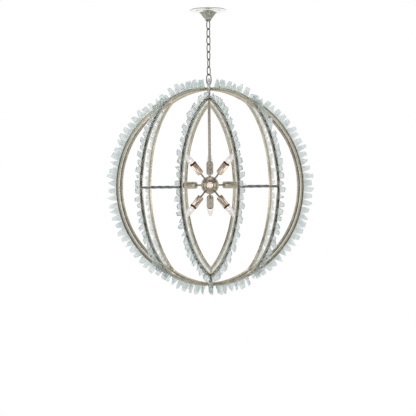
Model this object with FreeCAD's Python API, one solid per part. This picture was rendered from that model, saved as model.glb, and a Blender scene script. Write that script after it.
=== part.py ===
import FreeCAD, Part
import math
import os
import random

# Orb chandelier: six pointed-oval leaf frames edged with upright glass chips, hung on a
# link chain, with nine candle lamps round a central ball. Millimetres, origin at the
# ceiling, +Z up, front toward -Y. Azimuths turn from the front toward +X.

V = FreeCAD.Vector

# Ceiling plate
STRAP_LENGTH = 112.0
STRAP_WIDTH = 20.0
STRAP_THICK = 2.5
STRAP_OFFSET = 3.5
STRAP_FLAT = 24.0
STRAP_BEND = 5.0
BOX_SPACING = 88.9
SLOT_LENGTH = 9.0
SLOT_RADIUS = 2.3
NIPPLE_RADIUS = 5.0
NIPPLE_TOP = 1.2
NUT_RADIUS = 8.6
NUT_HEIGHT = 2.0

# Canopy
CANOPY_RADIUS = 80.0
CANOPY_STEP_RADIUS = 59.0
CANOPY_DOME_RADIUS = 36.0
CANOPY_RIM_DEPTH = 3.2
CANOPY_STEP_Z = -8.4
CANOPY_DEPTH = 42.0
CANOPY_WALL = 1.2
CANOPY_GAP = 0.3
NECK_RADIUS = 10.6
NECK_LENGTH = 14.0
COLLAR_WALL = 2.1
COLLAR_HEIGHT = 6.0

# Chain, from the pivot in the canopy loop down to the pivot in the orb's eye
LINK_WIRE = 4.4
LINK_WIDTH = 22.6
LINK_PITCH = 33.2
LOOP_PIVOT = 86.0
LOOP_WIDTH = 20.6
LINK_TURNS = (-48.0, 40.0, -44.0, 50.0, -64.0, 44.0)
BIG_WIRE = 4.8
BIG_WIDTH = 25.5
BIG_PITCH = 43.2
BIG_TURN = -18.0
LOOP_TURN = 35.0
EYE_WIRE = 4.4
EYE_RADIUS = 6.4
EYE_COLLAR = 0.8
EYE_SHANK_RADIUS = 3.0
EYE_SHANK_LENGTH = 22.0
HINGE_GAP = 0.35
LINK_CURVE = 0.87
EYE_CURVE = 1.0

# Orb
LEAVES = 6
ORB_RADIUS = 406.0
ORB_HEIGHT = 426.0
TIP_RADIUS = 191.0
BAR_DEPTH = 13.5
BAR_WIDTH = 11.0
ROD_SIZE = 7.4
ROD_TURN = 432.0

# Glass chips
CHIP_THICK = 4.4
CHIP_LAYER = 2.45
CHIP_PITCH = 29.0
CHIP_SEAT = 0.02
CHIP_START = 14.0
CHIP_POLE_START = 23.0
CHIP_TIP_STOP = 4.0
CHIP_LOW = 34.0
CHIP_HIGH = 45.0
CHIP_TAPER = 0.28

# Stem, ball and lamps; the hub sits a little above the middle of the frames
HUB_RISE = 6.5
STEM_RADIUS = 6.35
STEM_BORE = 4.6
BALL_RADIUS = 39.0
BALL_FLAT = 38.0
ARM_RADIUS = 3.8
LAMP_TILT = 48.0
CUP_BASE = 67.0
CUP_LENGTH = 59.0
CUP_RADIUS = 15.5
CUP_WALL = 1.0
CUP_FOOT = 8.5
CUP_FLOOR = 7.5
HOLDER_RADIUS = 10.0
HOLDER_DEPTH = 17.0
CAP_RADIUS = 6.0
CAP_CLEAR = 0.3
CAP_LENGTH = 18.0
CAP_PROUD = 1.0
GLASS_RADIUS = 14.0
GLASS_LENGTH = 78.0
GLASS_WALL = 0.9

# Facets, so that curves stay light: chords along the bars, sides of the round parts
SIDE_CHORDS = 18
POLAR_CHORDS = 5
ROD_STEPS = 10
WIRE_SIDES = 8
RING_STEPS = 12
SMALL_SIDES = 8
LATHE_SIDES = 9
NECK_SIDES = 16
PLATE_SIDES = 16

EPS = 1e-6
LEAF_STEP = 360.0 / LEAVES
SIDE_ANGLE = LEAF_STEP / 2
PLANE_OFFSET = TIP_RADIUS * math.sin(math.radians(SIDE_ANGLE))
SIDE_A = math.sqrt(ORB_RADIUS ** 2 - PLANE_OFFSET ** 2)
SIDE_B = ORB_HEIGHT * SIDE_A / ORB_RADIUS
POLE_APOTHEM = BAR_WIDTH / 2 / math.tan(math.radians(LEAF_STEP / 2))
BIG_PIVOT = LOOP_PIVOT + LINK_PITCH * len(LINK_TURNS)
ORB_PIVOT = BIG_PIVOT + BIG_PITCH
EYE_Z = -ORB_PIVOT - BIG_WIRE / 2 - HINGE_GAP
EYE_CENTRE_Z = EYE_Z + BIG_WIRE + 2 * HINGE_GAP - EYE_RADIUS + EYE_WIRE / 2
POLE_TOP = EYE_CENTRE_Z - EYE_RADIUS - EYE_WIRE / 2 - EYE_COLLAR
CENTRE_Z = POLE_TOP - BAR_DEPTH / 2 - ORB_HEIGHT
HUB_Z = CENTRE_Z + HUB_RISE


# Building helpers

def flat_faces(points):
    """One flat face through the points, or two triangles where four don't lie flat."""
    kept = []
    for point in points:
        if not kept or (point - kept[-1]).Length > EPS:
            kept.append(point)
    if (kept[0] - kept[-1]).Length < EPS:
        kept.pop()
    if len(kept) < 3:
        return []
    normal = (kept[1] - kept[0]).cross(kept[2] - kept[0])
    flat = all(abs(normal.dot(p - kept[0])) < 1e-4 * normal.Length for p in kept)
    if flat or len(kept) != 4:
        return [Part.Face(Part.makePolygon(kept + [kept[0]]))]
    halves = ([kept[0], kept[1], kept[2]], [kept[0], kept[2], kept[3]])
    return [Part.Face(Part.makePolygon(half + [half[0]])) for half in halves]


def skin(rings, closed=False):
    """A solid through matching rings of points, with flat faces between them."""
    spans = list(zip(rings, rings[1:]))
    if closed:
        spans.append((rings[-1], rings[0]))
    count = len(rings[0])
    faces = []
    for near, far in spans:
        for k in range(count):
            nxt = (k + 1) % count
            faces += flat_faces([near[k], near[nxt], far[nxt], far[k]])
    if not closed:
        faces += flat_faces(rings[0]) + flat_faces(rings[-1])
    solid = Part.Solid(Part.Shell(faces))
    if solid.Volume < 0:
        solid.reverse()
    return solid


def circle(radius, z, sides):
    """A regular ring of points round the Z axis, its flats at the stated radius."""
    corner = radius / math.cos(math.pi / sides)
    angles = [2 * math.pi * (k + 0.5) / sides for k in range(sides)]
    return [V(corner * math.cos(a), corner * math.sin(a), z) for a in angles]


def lathe(profile, sides=LATHE_SIDES, closed=False):
    """Turn a profile of (radius, height) points round the Z axis."""
    return skin([circle(r, z, sides) for r, z in profile], closed)


def prism(radius, z0, z1, sides=LATHE_SIDES):
    return lathe([(radius, z0), (radius, z1)], sides)


def wire_ring(path, normal, thickness):
    """A closed round-wire ring along a flat path, mitred at each corner."""
    count = len(path)
    rings = []
    for k in range(count):
        back = (path[k] - path[k - 1]).normalize()
        ahead = (path[(k + 1) % count] - path[k]).normalize()
        along = (back + ahead).normalize()
        side = normal.cross(along)
        stretch = 1 / along.dot(ahead)
        rings.append([path[k] + side * (x * stretch) + normal * y
                      for x, y in section(thickness)])
    return skin(rings, closed=True)


def section(thickness):
    """The wire's cross-section, flats at half its thickness."""
    corner = thickness / 2 / math.cos(math.pi / WIRE_SIDES)
    angles = [2 * math.pi * (k + 0.5) / WIRE_SIDES for k in range(WIRE_SIDES)]
    return [(corner * math.cos(a), corner * math.sin(a)) for a in angles]


def along(shape, azimuth, tilt, origin):
    """Turn a shape from the Z axis to an azimuth and a tilt above level, then move it."""
    shape = shape.copy()
    shape.rotate(V(0, 0, 0), V(1, 0, 0), 90 - tilt)
    shape.rotate(V(0, 0, 0), V(0, 0, 1), azimuth)
    shape.translate(origin)
    return shape


def save(name, shapes):
    shape = shapes[0] if len(shapes) == 1 else Part.makeCompound(shapes)
    shape.exportStep("parts/%s.step" % name)


# Ceiling plate and canopy

def ceiling_strap():
    """Bent crossbar: ends flat on the ceiling, middle dropped to take the nipple."""
    half = STRAP_LENGTH / 2
    top = [(half, 0), (STRAP_FLAT + STRAP_BEND, 0), (STRAP_FLAT, -STRAP_OFFSET)]
    low = [(x, z - STRAP_THICK) for x, z in top]
    side = top + [(-x, z) for x, z in reversed(top)]
    under = [(-x, z) for x, z in low] + list(reversed(low))
    outline = [V(x, -STRAP_WIDTH / 2, z) for x, z in side + under]
    strap = Part.Face(Part.makePolygon(outline + [outline[0]])).extrude(V(0, STRAP_WIDTH, 0))
    for sign in (-1, 1):
        strap = strap.cut(slot(sign * BOX_SPACING / 2))
    bore = prism(NIPPLE_RADIUS + 0.05, -STRAP_OFFSET - STRAP_THICK - 1, 0)
    return strap.cut(bore)


def slot(x):
    """Slotted screw hole, centred at x and running along the strap."""
    reach = SLOT_LENGTH / 2 - SLOT_RADIUS
    low = -2 * STRAP_THICK
    high = 3 * STRAP_THICK
    middle = Part.makeBox(2 * reach, 2 * SLOT_RADIUS, high, V(x - reach, -SLOT_RADIUS, low))
    ends = [Part.makeCylinder(SLOT_RADIUS, high, V(x + side, 0, low)) for side in (-reach, reach)]
    return middle.fuse(ends).removeSplitter()


def nipple():
    return prism(NIPPLE_RADIUS, -CANOPY_DEPTH - 2.0, -NIPPLE_TOP)


def locknut():
    """Hexagon nut under the strap, round the nipple."""
    top = -STRAP_OFFSET - STRAP_THICK
    nut = prism(NUT_RADIUS, top - NUT_HEIGHT, top, 6)
    return nut.cut(prism(NIPPLE_RADIUS + 0.05, top - NUT_HEIGHT - 1, top + 1))


def canopy():
    """Spun plate: flat rim, step, shoulder and bell, open at the neck."""
    low = [(CANOPY_RADIUS - 1.0, -CANOPY_GAP),
           (CANOPY_RADIUS, -CANOPY_GAP - 1.0),
           (CANOPY_RADIUS - 1.0, -CANOPY_RIM_DEPTH),
           (CANOPY_STEP_RADIUS + 2.0, CANOPY_STEP_Z + 3.0),
           (CANOPY_STEP_RADIUS, CANOPY_STEP_Z),
           (CANOPY_DOME_RADIUS + 3.0, CANOPY_STEP_Z - 3.2),
           (CANOPY_DOME_RADIUS - 1.0, CANOPY_STEP_Z - 5.6),
           (0.8 * CANOPY_DOME_RADIUS, CANOPY_STEP_Z - 14.0),
           (0.58 * CANOPY_DOME_RADIUS, -0.78 * CANOPY_DEPTH),
           (NECK_RADIUS + COLLAR_WALL + 0.9, -CANOPY_DEPTH)]
    wall = CANOPY_WALL
    top = [(NECK_RADIUS + 0.35, -CANOPY_DEPTH),
           (NECK_RADIUS + 0.35, -CANOPY_DEPTH + wall),
           (0.58 * CANOPY_DOME_RADIUS - wall, -0.78 * CANOPY_DEPTH + 0.5 * wall),
           (CANOPY_DOME_RADIUS + 0.4, CANOPY_STEP_Z - 3.6 + wall),
           (CANOPY_STEP_RADIUS - 0.8, CANOPY_STEP_Z + wall),
           (CANOPY_STEP_RADIUS + 1.0, CANOPY_STEP_Z + 2.9 + wall),
           (CANOPY_RADIUS - 1.0 - wall, -CANOPY_RIM_DEPTH + wall)]
    return lathe(low + top, PLATE_SIDES, closed=True)


def collar():
    """Ring nut that holds the canopy up on the loop's threaded neck."""
    inner = NECK_RADIUS + 0.1
    outer = NECK_RADIUS + COLLAR_WALL
    top = -CANOPY_DEPTH - CANOPY_GAP
    low = top - COLLAR_HEIGHT
    profile = [(inner, top), (outer, top), (outer, low + 1.0), (outer - 1.0, low), (inner, low)]
    return lathe(profile, NECK_SIDES, closed=True)


def canopy_loop():
    """Threaded neck on the nipple, with a fixed wire loop below it."""
    top = -CANOPY_DEPTH + NECK_LENGTH / 2
    neck = prism(NECK_RADIUS, top - NECK_LENGTH, top, NECK_SIDES)
    neck = neck.cut(prism(NIPPLE_RADIUS + 0.05, -CANOPY_DEPTH - 2.0, top + 1))
    ring_top = top - NECK_LENGTH + LINK_WIRE / 2
    ring = link_ring(LOOP_WIDTH, LINK_WIRE, ring_top, -LOOP_PIVOT, LOOP_TURN, LINK_CURVE)
    return neck.fuse(ring).removeSplitter()


# Chain

def link_ring(width, thickness, top, low, turn, curve):
    """Oval ring; top and low are the heights of its wire's centre at the flats of its ends.
    A curve of 1 makes an ellipse, and less makes the ends squarer."""
    across = V(math.cos(math.radians(turn)), math.sin(math.radians(turn)), 0)
    half_wide = (width - thickness) / 2
    half_high = (top - low) / 2
    path = []
    for k in range(RING_STEPS):
        a = 2 * math.pi * (k + 0.5) / RING_STEPS
        x, z = [math.copysign(abs(v / math.cos(math.pi / RING_STEPS)) ** curve, v)
                for v in (math.cos(a), math.sin(a))]
        path.append(across * (half_wide * x) + V(0, 0, low + half_high * (1 + z)))
    normal = across.cross(V(0, 0, 1))
    return wire_ring(path, normal, thickness)


def hung_link(width, thickness, pivot, pitch, upper_wire, turn):
    """A link that hangs from a wire whose centre is at the pivot depth."""
    top = -pivot + upper_wire / 2 + HINGE_GAP + thickness / 2
    return link_ring(width, thickness, top, -pivot - pitch, turn, LINK_CURVE)


def orb_eye():
    """Small welded ring on a shank that ties pole boss and stem together."""
    ring = link_ring(2 * EYE_RADIUS + EYE_WIRE, EYE_WIRE, EYE_CENTRE_Z + EYE_RADIUS,
                     EYE_CENTRE_Z - EYE_RADIUS, BIG_TURN + 90, EYE_CURVE)
    foot = prism(EYE_SHANK_RADIUS + 1.6, POLE_TOP, EYE_CENTRE_Z - EYE_RADIUS + EYE_WIRE / 2 - 1.2)
    shank = prism(EYE_SHANK_RADIUS, POLE_TOP - EYE_SHANK_LENGTH, POLE_TOP)
    return ring.fuse(foot).fuse(shank).removeSplitter()


# Leaf frames

def bar_arc(half_x, half_z, start, stop, chords):
    """Bar bent along an ellipse in the XZ plane, from one angle to another."""
    angles = [start + (stop - start) * k / chords for k in range(chords + 1)]
    points = []
    for depth, run in ((BAR_DEPTH / 2, angles), (-BAR_DEPTH / 2, reversed(angles))):
        for a in run:
            points.append(V((half_x + depth) * math.cos(a), -BAR_WIDTH / 2,
                            (half_z + depth) * math.sin(a)))
    return Part.Face(Part.makePolygon(points + [points[0]])).extrude(V(0, BAR_WIDTH, 0))


def tip_angle():
    """Angle of the leaf's tip along a side's ellipse, above the equator."""
    return math.acos(TIP_RADIUS * math.cos(math.radians(SIDE_ANGLE)) / SIDE_A)


def mitre_radius():
    """Radius at which a leaf's two sides are together just as wide as one bar."""
    angle = math.radians(SIDE_ANGLE)
    edge = BAR_WIDTH / 2
    return TIP_RADIUS - edge * math.sin(angle) + (edge - edge * math.cos(angle)) / math.tan(angle)


def side_bar(sign):
    """One side of a leaf, in the leaf's frame: X outward, Y to its right."""
    tip = tip_angle() + 1.5 * BAR_DEPTH / SIDE_B
    bar = bar_arc(SIDE_A, SIDE_B, -tip, tip, SIDE_CHORDS)
    bar.rotate(V(0, 0, 0), V(0, 0, 1), sign * SIDE_ANGLE)
    angle = math.radians(SIDE_ANGLE)
    bar.translate(V(PLANE_OFFSET * math.sin(angle), -sign * PLANE_OFFSET * math.cos(angle), 0))
    size = ORB_HEIGHT + BAR_DEPTH
    low_y = 0 if sign > 0 else -size
    return bar.common(Part.makeBox(size, size, 2 * size, V(mitre_radius(), low_y, -size)))


def polar_bar(sign):
    """The single bar from a leaf's tip to the pole boss."""
    outer = math.acos(mitre_radius() / ORB_RADIUS) - BAR_DEPTH / ORB_HEIGHT
    bar = bar_arc(ORB_RADIUS, ORB_HEIGHT, sign * outer, sign * math.pi / 2, POLAR_CHORDS)
    size = ORB_HEIGHT + BAR_DEPTH
    run = mitre_radius() - POLE_APOTHEM
    low = V(POLE_APOTHEM, -BAR_WIDTH, -size)
    return bar.common(Part.makeBox(run, 2 * BAR_WIDTH, 2 * size, low))


def pole_boss(sign, bored):
    """Six-sided boss that the polar bars meet; the upper one is bored for the eye."""
    middle = sign * ORB_HEIGHT
    boss = prism(POLE_APOTHEM, middle - BAR_DEPTH / 2, middle + BAR_DEPTH / 2, LEAVES)
    boss.rotate(V(0, 0, 0), V(0, 0, 1), LEAF_STEP / 2)
    if bored:
        hole = prism(EYE_SHANK_RADIUS + 0.1, middle - BAR_DEPTH, middle + BAR_DEPTH)
        boss = boss.cut(hole)
    boss.translate(V(0, 0, CENTRE_Z))
    return boss


def in_leaf(shape, leaf):
    """Move a shape from the leaf's frame to its place in the orb."""
    shape = shape.copy()
    shape.rotate(V(0, 0, 0), V(0, 0, 1), LEAF_STEP * leaf - 90)
    shape.translate(V(0, 0, CENTRE_Z))
    return shape


def equator_rod():
    """Twisted square rod between neighbouring leaves, in the frame of the gap."""
    half = PLANE_OFFSET - BAR_WIDTH / 2
    corner = ROD_SIZE / math.sqrt(2)
    rings = []
    for step in range(ROD_STEPS + 1):
        turn = math.radians(ROD_TURN * step / ROD_STEPS)
        y = half * (2.0 * step / ROD_STEPS - 1)
        angles = [turn + math.pi * (k + 0.5) / 2 for k in range(4)]
        rings.append([V(SIDE_A + corner * math.cos(a), y, corner * math.sin(a)) for a in angles])
    return skin(rings)


# Glass chips

def chip_outline(rng, reach, tall):
    """Outline of one broken-glass chip on a flat foot: pointed, cut off or shouldered."""
    height = tall * rng.uniform(CHIP_LOW, CHIP_HIGH)
    lean = rng.uniform(-0.12, 0.12) * height
    kind = rng.random()
    foot = reach * rng.uniform(0.9, 1.18)
    base = [(-foot / 2, 0), (foot / 2, 0)]
    if kind < 0.2:
        return base + [(lean, height)]
    width = foot * rng.uniform(0.45, 0.8)
    slant = rng.uniform(-0.18, 0.18) * height
    top = [(lean + width / 2, height - max(slant, 0)), (lean - width / 2, height + min(slant, 0))]
    if kind < 0.9:
        return base + top
    shoulder = (foot * rng.uniform(0.5, 0.56), height * rng.uniform(0.4, 0.6))
    return base + [shoulder] + top


def chip_row(half_x, half_z, start, stop, rng, reach, taper):
    """Chips standing on the outer face of a bar hoop in the XZ plane, from start to stop."""
    count = max(1, round(abs(stop - start) * half_z / CHIP_PITCH))
    chips = []
    for k in range(count):
        share = (k + 0.5 + rng.uniform(-0.1, 0.1)) / count
        angle = start + (stop - start) * share
        foot = V((half_x + BAR_DEPTH / 2) * math.cos(angle), 0,
                 (half_z + BAR_DEPTH / 2) * math.sin(angle))
        out = V(math.cos(angle) / half_x, 0, math.sin(angle) / half_z).normalize()
        side = V(0, 1, 0).cross(out)
        tall = 1 - taper * abs(2 * share - 1) ** 3
        points = [foot + side * x + out * (y + CHIP_SEAT) for x, y in chip_outline(rng, reach, tall)]
        layer = CHIP_LAYER if k % 2 else -CHIP_LAYER
        points = [p + V(0, layer - CHIP_THICK / 2, 0) for p in points]
        chips.append(Part.Face(Part.makePolygon(points + [points[0]])).extrude(V(0, CHIP_THICK, 0)))
    return chips


def leaf_glass(leaf):
    """All chips of one leaf: its two sides and its two polar bars."""
    rng = random.Random(11 + leaf)
    angle = math.radians(SIDE_ANGLE)
    chips = []
    tip = tip_angle() - CHIP_START / SIDE_B
    for sign in (-1, 1):
        for chip in chip_row(SIDE_A, SIDE_B, -tip, tip, rng, CHIP_PITCH, CHIP_TAPER):
            chip.rotate(V(0, 0, 0), V(0, 0, 1), sign * SIDE_ANGLE)
            chip.translate(V(PLANE_OFFSET * math.sin(angle),
                             -sign * PLANE_OFFSET * math.cos(angle), 0))
            chips.append(chip)
    near = math.acos(CHIP_POLE_START / ORB_RADIUS)
    far = math.acos((TIP_RADIUS - CHIP_TIP_STOP) / ORB_RADIUS)
    for sign in (-1, 1):
        chips += chip_row(ORB_RADIUS, ORB_HEIGHT, sign * far, sign * near, rng, CHIP_PITCH, 0)
    return [in_leaf(chip, leaf) for chip in chips]


# Stem, ball and lamps

def stem():
    """Tube from the ball's top flat to the underside of the pole boss."""
    low = HUB_Z + BALL_FLAT
    top = POLE_TOP - BAR_DEPTH
    profile = [(STEM_RADIUS, low), (STEM_RADIUS, top), (STEM_BORE, top), (STEM_BORE, low)]
    return lathe(profile, NECK_SIDES, closed=True)


def ball():
    """Turned ball with a flat seat for the stem and for every arm."""
    rings = 6
    profile = []
    for k in range(rings + 1):
        a = math.pi * (k / rings - 0.5)
        profile.append((BALL_RADIUS * math.cos(a), BALL_RADIUS * math.sin(a)))
    body = lathe(profile, NECK_SIDES)
    size = 3 * BALL_RADIUS
    seat = Part.makeBox(size, size, size, V(-size / 2, -size / 2, BALL_FLAT))
    body = body.cut(seat)
    for azimuth, tilt in lamp_directions():
        body = body.cut(along(seat, azimuth, tilt, V(0, 0, 0)))
    body.translate(V(0, 0, HUB_Z))
    return body


def lamp_directions():
    """Azimuth and tilt of the nine lamps: upper, middle and lower tiers of three."""
    outer = [LEAF_STEP, 180.0, -LEAF_STEP]
    inner = [0.0, 2 * LEAF_STEP, -2 * LEAF_STEP]
    return ([(a, LAMP_TILT) for a in outer] + [(a, 0.0) for a in inner]
            + [(a, -LAMP_TILT) for a in outer])


def lamp_names():
    return ["%s_%d" % (tier, k + 1) for tier in ("upper", "middle", "lower") for k in range(3)]


def arm():
    return prism(ARM_RADIUS, BALL_FLAT, CUP_BASE, SMALL_SIDES)


def cup():
    """Drawn cup with a rounded base and an open mouth."""
    rim = CUP_BASE + CUP_LENGTH
    inner = CUP_RADIUS - CUP_WALL
    profile = [(0, CUP_BASE), (CUP_FOOT, CUP_BASE), (CUP_RADIUS, CUP_BASE + CUP_FLOOR - 1.0),
               (CUP_RADIUS, rim), (inner, rim), (inner, CUP_BASE + CUP_FLOOR),
               (0, CUP_BASE + CUP_FLOOR)]
    return lathe(profile)


def holder():
    """Lamp holder inside the cup, bored for the lamp's cap."""
    foot = CUP_BASE + CUP_FLOOR
    mouth = CUP_BASE + CUP_LENGTH - HOLDER_DEPTH
    bore = CAP_RADIUS + CAP_CLEAR
    floor = mouth - CAP_LENGTH
    profile = [(0, foot), (HOLDER_RADIUS, foot), (HOLDER_RADIUS, mouth), (bore, mouth),
               (bore, floor), (0, floor)]
    return lathe(profile, SMALL_SIDES)


def lamp_cap():
    """Metal screw cap of the candle lamp, seated by its contact on the holder's floor."""
    top = CUP_BASE + CUP_LENGTH - HOLDER_DEPTH + CAP_PROUD
    low = top - CAP_PROUD - CAP_LENGTH + CAP_CLEAR
    return prism(CAP_RADIUS, low, top, SMALL_SIDES)


def lamp_glass():
    """Candle envelope: neck in the cap, belly, then a drawn-out tip; hollow inside."""
    base = CUP_BASE + CUP_LENGTH - HOLDER_DEPTH + CAP_PROUD
    shape = [(0.0, 0.42), (0.16, 0.62), (0.34, 1.0), (0.56, 0.9), (0.84, 0.36)]
    outer = [(GLASS_RADIUS * r, base + GLASS_LENGTH * h) for h, r in shape]
    belly = outer[2][1]
    tip = base + GLASS_LENGTH
    narrow = outer[0][0] - GLASS_WALL
    cavity = [(0, base + GLASS_WALL), (narrow, base + GLASS_WALL),
              (GLASS_RADIUS - 1.6 * GLASS_WALL, belly),
              (0.62 * GLASS_RADIUS, base + 0.66 * GLASS_LENGTH), (0, base + 0.84 * GLASS_LENGTH)]
    envelope = lathe([(0, base)] + outer + [(0, tip)], SMALL_SIDES)
    return envelope.cut(lathe(cavity, SMALL_SIDES))


def main():
    os.makedirs("parts", exist_ok=True)
    save("ceiling_strap", [ceiling_strap()])
    save("nipple", [nipple()])
    save("locknut", [locknut()])
    save("canopy", [canopy()])
    save("canopy_collar", [collar()])
    save("canopy_loop", [canopy_loop()])

    pivot = LOOP_PIVOT
    for k, turn in enumerate(LINK_TURNS):
        link = hung_link(LINK_WIDTH, LINK_WIRE, pivot, LINK_PITCH, LINK_WIRE, turn)
        save("chain_link_%d" % (k + 1), [link])
        pivot += LINK_PITCH
    save("hanging_link", [hung_link(BIG_WIDTH, BIG_WIRE, pivot, BIG_PITCH, LINK_WIRE, BIG_TURN)])
    save("orb_eye", [orb_eye()])

    save("pole_boss_top", [pole_boss(1, True)])
    save("pole_boss_bottom", [pole_boss(-1, False)])
    for leaf in range(LEAVES):
        save("leaf_%d_bar_left" % (leaf + 1), [in_leaf(side_bar(-1), leaf)])
        save("leaf_%d_bar_right" % (leaf + 1), [in_leaf(side_bar(1), leaf)])
        save("leaf_%d_glass" % (leaf + 1), leaf_glass(leaf))
    save("polar_bars_top", [in_leaf(polar_bar(1), leaf) for leaf in range(LEAVES)])
    save("polar_bars_bottom", [in_leaf(polar_bar(-1), leaf) for leaf in range(LEAVES)])
    save("equator_rods", [in_leaf(equator_rod(), leaf + 0.5) for leaf in range(LEAVES)])

    save("stem", [stem()])
    save("ball", [ball()])
    hub = V(0, 0, HUB_Z)
    lamps = list(zip(lamp_names(), lamp_directions()))
    save("lamp_arms", [along(arm(), azimuth, tilt, hub) for name, (azimuth, tilt) in lamps])
    save("lamp_cups", [along(cup(), azimuth, tilt, hub) for name, (azimuth, tilt) in lamps])
    save("lamp_holders", [along(holder(), azimuth, tilt, hub) for name, (azimuth, tilt) in lamps])
    for name, (azimuth, tilt) in lamps:
        save("lamp_cap_" + name, [along(lamp_cap(), azimuth, tilt, hub)])
        save("lamp_glass_" + name, [along(lamp_glass(), azimuth, tilt, hub)])


main()
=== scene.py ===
import math
import random

import bmesh
import bpy
from mathutils import Matrix, Vector


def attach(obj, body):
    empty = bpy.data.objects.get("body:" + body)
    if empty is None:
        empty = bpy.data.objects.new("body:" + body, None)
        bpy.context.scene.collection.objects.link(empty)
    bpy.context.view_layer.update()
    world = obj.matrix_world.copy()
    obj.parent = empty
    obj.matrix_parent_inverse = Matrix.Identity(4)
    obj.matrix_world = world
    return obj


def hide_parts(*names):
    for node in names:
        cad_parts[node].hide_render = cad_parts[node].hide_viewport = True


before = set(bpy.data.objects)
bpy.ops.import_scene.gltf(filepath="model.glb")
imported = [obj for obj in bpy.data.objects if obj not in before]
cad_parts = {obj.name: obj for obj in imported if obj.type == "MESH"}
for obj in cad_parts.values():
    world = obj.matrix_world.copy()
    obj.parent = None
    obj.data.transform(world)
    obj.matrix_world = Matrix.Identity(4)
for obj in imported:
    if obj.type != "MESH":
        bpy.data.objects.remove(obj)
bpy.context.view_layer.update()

# Sizes in millimetres, as in the construction model; meshes are made in metres.
MM = 0.001

# Orb
LEAVES = 6
LEAF_STEP = 60.0
CENTRE_Z = -772.0
HUB_Z = CENTRE_Z + 6.5
ORB_RADIUS = 406.0
ORB_HEIGHT = 426.0
TIP_RADIUS = 191.0
BAR_DEPTH = 13.5
BAR_WIDTH = 11.0
BAR_OUTER_ROUND = 1.1
BAR_INNER_ROUND = 3.0
BAR_FACE_EDGE = 1.2
SIDE_ANGLE = 30.0
PLANE_OFFSET = TIP_RADIUS * math.sin(math.radians(SIDE_ANGLE))
SIDE_A = math.sqrt(ORB_RADIUS ** 2 - PLANE_OFFSET ** 2)
SIDE_B = ORB_HEIGHT * SIDE_A / ORB_RADIUS
POLE_APOTHEM = BAR_WIDTH / 2 / math.tan(math.radians(30))
POLE_BEVEL = 0.6
ROD_SIZE = 7.4
ROD_ROUND = 0.7
ROD_TURN = 432.0

# Glass chips
CHIP_THICK = 4.4
CHIP_LAYER = 2.45
CHIP_PITCH = 29.0
CHIP_SEAT = 0.02
CHIP_START = 14.0
CHIP_POLE_START = 23.0
CHIP_TIP_STOP = 4.0
CHIP_HEIGHT = (34.0, 45.0)
CHIP_FOOT = (0.9, 1.18)
CHIP_TOP = (0.45, 0.8)
CHIP_SHOULDER = (0.5, 0.56)
CHIP_SHOULDER_HEIGHT = (0.4, 0.6)
CHIP_LEAN = 0.12
CHIP_SLANT = 0.18
CHIP_TAPER = 0.28
CHIP_JITTER = 0.1
POINTED_BELOW = 0.2
SHOULDERED_ABOVE = 0.9
CORNER_CLIP = (1.2, 4.6)
CLIP_ROOM = 0.4
POINTED_CLIP_ROOM = 0.22
LONG_SIDE = 12
LONG_SWELL = (-0.04, 0.06)
SHORT_SWELL = (-0.8, 0.8)
SWELL_AT = (0.33, 0.67)
SWELL_SPREAD = (0.7, 1.1)

# Rings of a chip from face to face: (side, share of half its thickness, inset)
CHIP_RINGS = ((-1, 1.0, 4.6), (-1, 0.35, 0.4), (1, 0.35, 0.4), (1, 1.0, 4.6))
INSET_SPREAD = (0.5, 1.3)
LEVEL_SPREAD = (0.8, 1.0)
MIDDLE_LEVEL = (0.75, 1.0)
MIDDLE_ACROSS = (-3, 3)
MIDDLE_UP = (-4, 6)

# Turns of the chips about their uprights, in degrees
TIP_TURN = -42.0
TURN_JITTER = 9
TOP_TURN = (0, 14)
BOTTOM_TURN = (20, 45)

# Chain, hanging link and eye
LINK_WIRE = 4.4
LINK_WIDTH = 22.6
LINK_PITCH = 33.2
LOOP_PIVOT = 86.0
LINK_TURNS = (-48.0, 40.0, -44.0, 50.0, -64.0, 44.0)
BIG_WIRE = 4.8
BIG_WIDTH = 25.5
BIG_PITCH = 43.2
BIG_TURN = -18.0
HINGE_GAP = 0.35
LINK_CURVE = 0.87
EYE_RADIUS = 6.4
EYE_WIRE = 4.4
EYE_FOOT = 4.6
EYE_FOOT_EDGE = 0.8
SHANK_RADIUS = 3.0
SHANK_LENGTH = 22

# Canopy, collar, loop and nipple: profiles are (radius, height)
CANOPY_OUTER = [(79.0, -0.3), (79.8, -0.6), (80.0, -1.3), (79.4, -2.5), (78.0, -3.4), (70.0, -4.4),
                (61.5, -5.4), (60.2, -6.2), (59.0, -8.4), (57.5, -8.9), (48.0, -10.0), (39.5, -11.3),
                (36.8, -12.6), (35.0, -14.5), (32.4, -18.2), (28.8, -22.4), (24.8, -27.4),
                (20.9, -32.8), (17.4, -37.4), (15.0, -40.2), (14.0, -41.2), (13.2, -42.0)]
CANOPY_INNER = [(10.95, -42.0), (10.95, -40.8), (13.6, -39.0), (19.6, -32.0), (27.4, -21.6),
                (33.4, -13.6), (36.4, -11.0), (46.6, -8.8), (57.6, -7.4), (59.2, -4.6), (77.0, -2.2),
                (77.8, -0.3)]
PLATE_INNER = 39.6
PLATE_OUTER = 78.6
PLATE_TOP = -3.3
RIM_INNER = 76.0
COLLAR_BORE = 10.7
COLLAR_RADIUS = 12.7
COLLAR_TOP = -42.3
COLLAR_LOW = -48.3
COLLAR_GROOVES = 5
GROOVE_PITCH = 0.9
GROOVE_DEPTH = 0.4
NECK_RADIUS = 10.6
NECK_ROOT = 10.15
NECK_TOP = -35.0
NECK_LOW = -49.0
LOOP_WIDTH = 20.6
LOOP_TURN = 35.0
THREAD_PITCH = 1.4
NECK_RIDGES = 9
NIPPLE_RIDGES = 30
NIPPLE_BORE = 5.05
NIPPLE_CREST = 5.0
NIPPLE_ROOT = 4.5
NIPPLE_END = 4.6
NIPPLE_TOP = -1.2
NIPPLE_LOW = -44.0

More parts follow.
